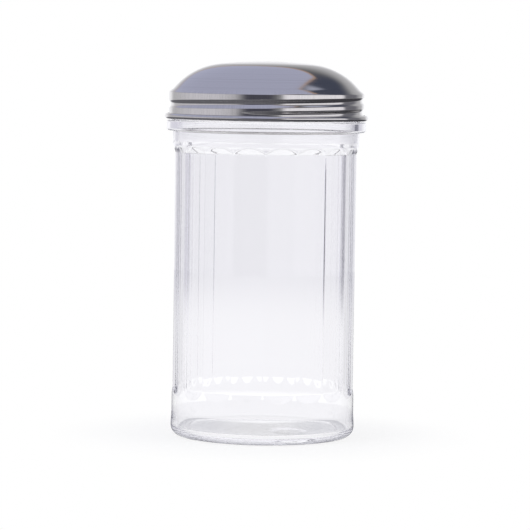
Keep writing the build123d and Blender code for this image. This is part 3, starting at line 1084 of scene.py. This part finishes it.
@dataclass
class Studio:
    """Pale floor, soft light all round and the camera."""

    distance: float = 1.1
    eye_height: float = 0.143302
    pitch: float = 4.1235
    roll: float = 0.83
    lens: float = 199.74
    shift: float = 0.65 / 530.0
    bounces: int = 96
    room_base: Triple = (0.15, 0.15, 0.16)
    sweep_base: Triple = (1.08, 1.08, 1.10)

    def panels(self) -> list[SoftPanel]:
        """The light and dark areas round the table, in painting order."""
        return [
            # grey wall all round, lighter at the back
            SoftPanel((0.36, 0.36, 0.37), (below(0.46, 0.50),)),
            SoftPanel((0.58, 0.58, 0.60), (below(0.46, 0.50), (0.0, 1.0, 0.0, 0.15, 0.5))),
            # pale sweep behind the object, low down
            SoftPanel((1.03, 1.03, 1.06), (below(0.18, 0.26), *between(-32.0, 26.0, 0.26))),
            # window light from the left, low down
            SoftPanel((0.78, 0.77, 0.83), (below(0.20, 0.24), *between(-146.0, -58.0, 1.2, 1.3))),
            # dark part of the room, right and behind
            SoftPanel((0.20, 0.20, 0.23), (below(0.55, 0.30), *between(44.0, 100.0, 0.35))),
            SoftPanel(
                (0.075, 0.085, 0.125),
                (below(0.90, 0.10), above(0.52, 0.22), *between(24.0, 100.0, 0.30)),
            ),
            # soft box on the right: its dim border, then the box itself
            SoftPanel((0.50, 0.50, 0.53), (below(0.60, 0.20), *between(82.0, 163.0, 0.14))),
            SoftPanel((1.08, 1.06, 1.12), (below(0.40, 0.30), *between(76.0, 160.0, 0.16))),
            # dark room behind the camera
            SoftPanel((0.085, 0.085, 0.11), (below(0.40, 0.40), *between(168.0, 210.0, 0.34))),
            # warm frame of the large overhead light, then the light itself
            SoftPanel(
                (0.52, 0.36, 0.27),
                ((-1.3, -0.6, 1.0, 0.030, 0.02), (-1.0, 0.028, 0.42, 0.020, 0.02), above(0.30, 0.10)),
            ),
            SoftPanel(
                (0.50, 0.52, 0.68),
                ((-1.3, -0.6, 1.0, -0.010, 0.03), (-1.0, 0.028, 0.42, -0.012, 0.03), above(0.30, 0.12)),
            ),
            # a gap of light under its near corner
            SoftPanel(
                (0.48, 0.50, 0.62),
                (above(0.74, 0.12), below(0.90, 0.07), *between(66.0, 112.0, 0.14)),
            ),
        ]

    def backdrop_panels(self) -> list[SoftPanel]:
        """What shows through the plastic: a lit sweep behind the object, dimmer to the sides."""
        low = below(0.03, 0.08)
        return [
            SoftPanel((0.17, 0.17, 0.21), (low,)),
            SoftPanel((0.66, 0.65, 0.73), (low, *between(-75.0, 34.0, 0.22, 0.10))),
            SoftPanel((0.96, 0.955, 0.99), (low, *between(-20.0, 22.0, 0.20))),
        ]

    def light_group(self, name: str, base: Triple, panels: list[SoftPanel]) -> bpy.types.NodeTree:
        """A group that gives the studio's colour in a direction.

        Args:
            name: Name of the group.
            base: Colour where no panel lies.
            panels: Patches painted over it, in order.

        Returns:
            The group, with input Direction and output Colour.
        """
        g = group_tree(name, [("Direction", VECTOR, (0.0, 0.0, 1.0))], [("Colour", COLOUR)])
        towards = g.vector("NORMALIZE", g.tree.nodes["In"].outputs["Direction"]).outputs[0]
        colour: object = base
        for panel in panels:
            mask: object = 1.0
            for nx, ny, nz, offset, soft in panel.planes:
                reach = g.vector("DOT_PRODUCT", towards, (nx, ny, nz)).outputs["Value"]
                inside = g.remap(g.math("ADD", reach, offset), -soft / 2.0, soft / 2.0)
                mask = g.math("MULTIPLY", mask, inside)
            colour = g.blend(mask, colour, panel.colour)
        g.link(colour, g.tree.nodes["Out"].inputs["Colour"])
        return g.tree

    def world(self) -> None:
        """White to the camera, the lit sweep through plastic, and the room to every other ray."""
        world = bpy.data.worlds.new("studio")
        bpy.context.scene.world = world
        world.use_nodes = True
        g = Graph(world.node_tree)
        g.tree.nodes.clear()
        towards = g.add("ShaderNodeTexCoord").outputs["Generated"]
        room, sweep = (
            g.group(self.light_group(*light), {"Direction": towards}).outputs["Colour"]
            for light in (
                ("studio_room", self.room_base, self.panels()),
                ("backdrop", self.sweep_base, self.backdrop_panels()),
            )
        )
        path = g.add("ShaderNodeLightPath").outputs
        shown = g.blend(path["Is Transmission Ray"], room, sweep)
        sky = g.add("ShaderNodeBackground", {"Color": g.blend(path["Is Camera Ray"], shown, WHITE)})
        g.add("ShaderNodeOutputWorld", {"Surface": sky.outputs[0]})

    def floor(self) -> bpy.types.Object:
        """A round pale table that keeps the object's shadow near it and is white further out."""
        ang = np.linspace(0.0, FULL, 96, endpoint=False)
        rim = np.array([[radius, FLOOR] for radius in (60.0, 200.0, 500.0, 850.0)])
        rings = about_axis(*spread(rim, len(ang)), ang)
        points = np.concatenate([rings.reshape(-1, 3), [[0.0, 0.0, FLOOR]]])
        pole = pole_faces(len(points) - 1, 0, len(ang), False)
        faces = [grid_faces(len(rim), len(ang), closed=True), pole]
        floor = mesh_object("table_top", points, faces)
        floor.data.materials.append(self.table_finish())
        return floor

    def table_finish(self) -> bpy.types.Material:
        """Matt and pale, with a glow of painted light and shade for the rays that should find it white
        or dark.
        """
        mat, g, shader = new_material("table_top")
        shader.inputs["Roughness"].default_value = 0.9
        place = g.place()
        axes = g.axes(place)
        away = g.vector("LENGTH", place).outputs["Value"]
        path = g.add("ShaderNodeLightPath").outputs
        pale = g.blend(g.noise(place, 30.0, 2.0), (0.86, 0.86, 0.86), (0.90, 0.90, 0.90))
        g.link(pale, shader.inputs["Base Color"])
        through = self.tone_through(g, axes, away)
        far = g.group(bpy.data.node_groups["backdrop"], {"Direction": place}).outputs["Colour"]
        through = g.blend(g.remap(away, 0.40, 0.84), through, far)
        # the glow paints shade near the object for reflections, and shade and a bright ring through
        # plastic
        tone = g.blend(path["Is Transmission Ray"], self.painted_shade_for_metal(g, axes, away), through)
        glow = g.add("ShaderNodeEmission", {"Color": g.blend(path["Is Camera Ray"], tone, WHITE)})
        seen = g.math("MULTIPLY", path["Is Camera Ray"], g.remap(away, 0.034, 0.085, 0.84, 1.0))
        seen = g.math("MAXIMUM", seen, path["Is Glossy Ray"])
        seen = g.math("MAXIMUM", seen, path["Is Transmission Ray"])
        mix = g.add("ShaderNodeMixShader", {0: seen, 1: shader.outputs[0], 2: glow.outputs[0]})
        g.link(mix.outputs[0], g.tree.nodes["Material Output"].inputs["Surface"])
        return mat

    def painted_shade_for_metal(self, g: Graph, axes: bpy.types.bpy_prop_collection, away: Socket) -> Socket:
        """The table's glow as metal reflects it, a painted shade: dark close by, most of all on the
        right.
        """
        # painted shade: near the object the table glows dark to reflections, darker on the right, grey
        # further out
        close = g.blend(g.remap(axes["X"], -0.05, 0.16), (0.17, 0.17, 0.19), (0.065, 0.065, 0.075))
        return g.blend(g.remap(away, 0.45, 0.85), close, (0.45, 0.45, 0.47))

    def tone_through(self, g: Graph, axes: bpy.types.bpy_prop_collection, away: Socket) -> Socket:
        """The table as it shows through plastic.

        It glows light, but for a painted shade, a grey strip under the base's recess, which bows back
        at its sides; a fainter painted shade just round the base; and a painted light, a ring
        brighter than white behind the object.

        Args:
            g: The table's graph.
            axes: X, Y and Z of the point on the table.
            away: Its distance from the middle.

        Returns:
            The colour.
        """
        # painted shade: a grey strip of table under the base's recess, where the jar blocks the light
        aside = g.math("ABSOLUTE", axes["X"])
        shade = g.blend(g.remap(aside, 0.004, 0.022), (0.34, 0.335, 0.34), (0.25, 0.255, 0.30))
        bowed = g.math("MULTIPLY_ADD", aside, -0.4, axes["Y"])
        front, back = g.remap(bowed, -0.0222, -0.0200), g.remap(bowed, 0.010, 0.022, 1.0, 0.0)
        painted_shade_band = g.math("MULTIPLY", front, back)
        under = g.blend(painted_shade_band, (0.97, 0.97, 0.98), shade)
        # painted shade: the table just round the base glows a little darker
        close = g.blend(g.remap(away, 0.036, 0.050), (0.90, 0.90, 0.92), (0.98, 0.975, 1.0))
        tone = g.blend(g.remap(away, 0.0315, 0.0345), under, close)
        # painted light: a ring of table behind the object glows brighter than white through plastic
        ring = g.math("MULTIPLY", g.remap(away, 0.098, 0.112), g.remap(away, 0.125, 0.15, 1.0, 0.0))
        return g.blend(ring, tone, (1.12, 1.12, 1.13))

    def lamps(self) -> None:
        """Two soft lamps that give the table its light and a faint shadow."""
        aim = Vector((0.0, 0.0, 0.06))
        for name, place, power, size in (
            ("lamp_left", Vector((-0.9, -0.5, 1.3)), 9.0, 0.9),
            ("lamp_right", Vector((1.0, -0.3, 1.0)), 6.0, 0.8),
        ):
            data = bpy.data.lights.new(name, "AREA")
            data.energy = power
            data.size = size
            lamp = bpy.data.objects.new(name, data)
            bpy.context.scene.collection.objects.link(lamp)
            lamp.location = place
            lamp.rotation_euler = (place - aim).to_track_quat("Z", "Y").to_euler()
            lamp.visible_glossy = False
            lamp.visible_transmission = False

    def camera(self) -> None:
        """The camera at the photograph's place, a little rolled as the photograph is."""
        data = bpy.data.cameras.new("camera")
        data.sensor_width = 36.0
        data.lens = self.lens
        data.shift_x = self.shift
        data.clip_start = 0.05
        data.clip_end = 50.0
        cam = bpy.data.objects.new("camera", data)
        bpy.context.scene.collection.objects.link(cam)
        tilt = Matrix.Rotation(math.radians(90.0 - self.pitch), 4, "X")
        roll = Matrix.Rotation(math.radians(self.roll), 4, "Z")
        cam.matrix_world = Matrix.Translation((0.0, -self.distance, self.eye_height)) @ tilt @ roll
        bpy.context.scene.camera = cam

    def build(self) -> None:
        """Makes the whole stage."""
        self.camera()
        self.world()
        self.floor()
        self.lamps()
        scene = bpy.context.scene
        scene.view_settings.view_transform = "Standard"
        # light runs round inside the plastic's rim and base before it leaves
        scene.cycles.max_bounces = self.bounces
        scene.cycles.glossy_bounces = self.bounces
        scene.cycles.transmission_bounces = self.bounces


def main() -> None:
    """Builds the stage and the four pieces in order."""
    logging.basicConfig(level=logging.INFO, format="%(name)s: %(message)s")
    Studio().build()
    PanelledJar().build()
    ScrewLid().build()
    HingePin().build()
    PourFlap().build()


if __name__ == "__main__":
    main()
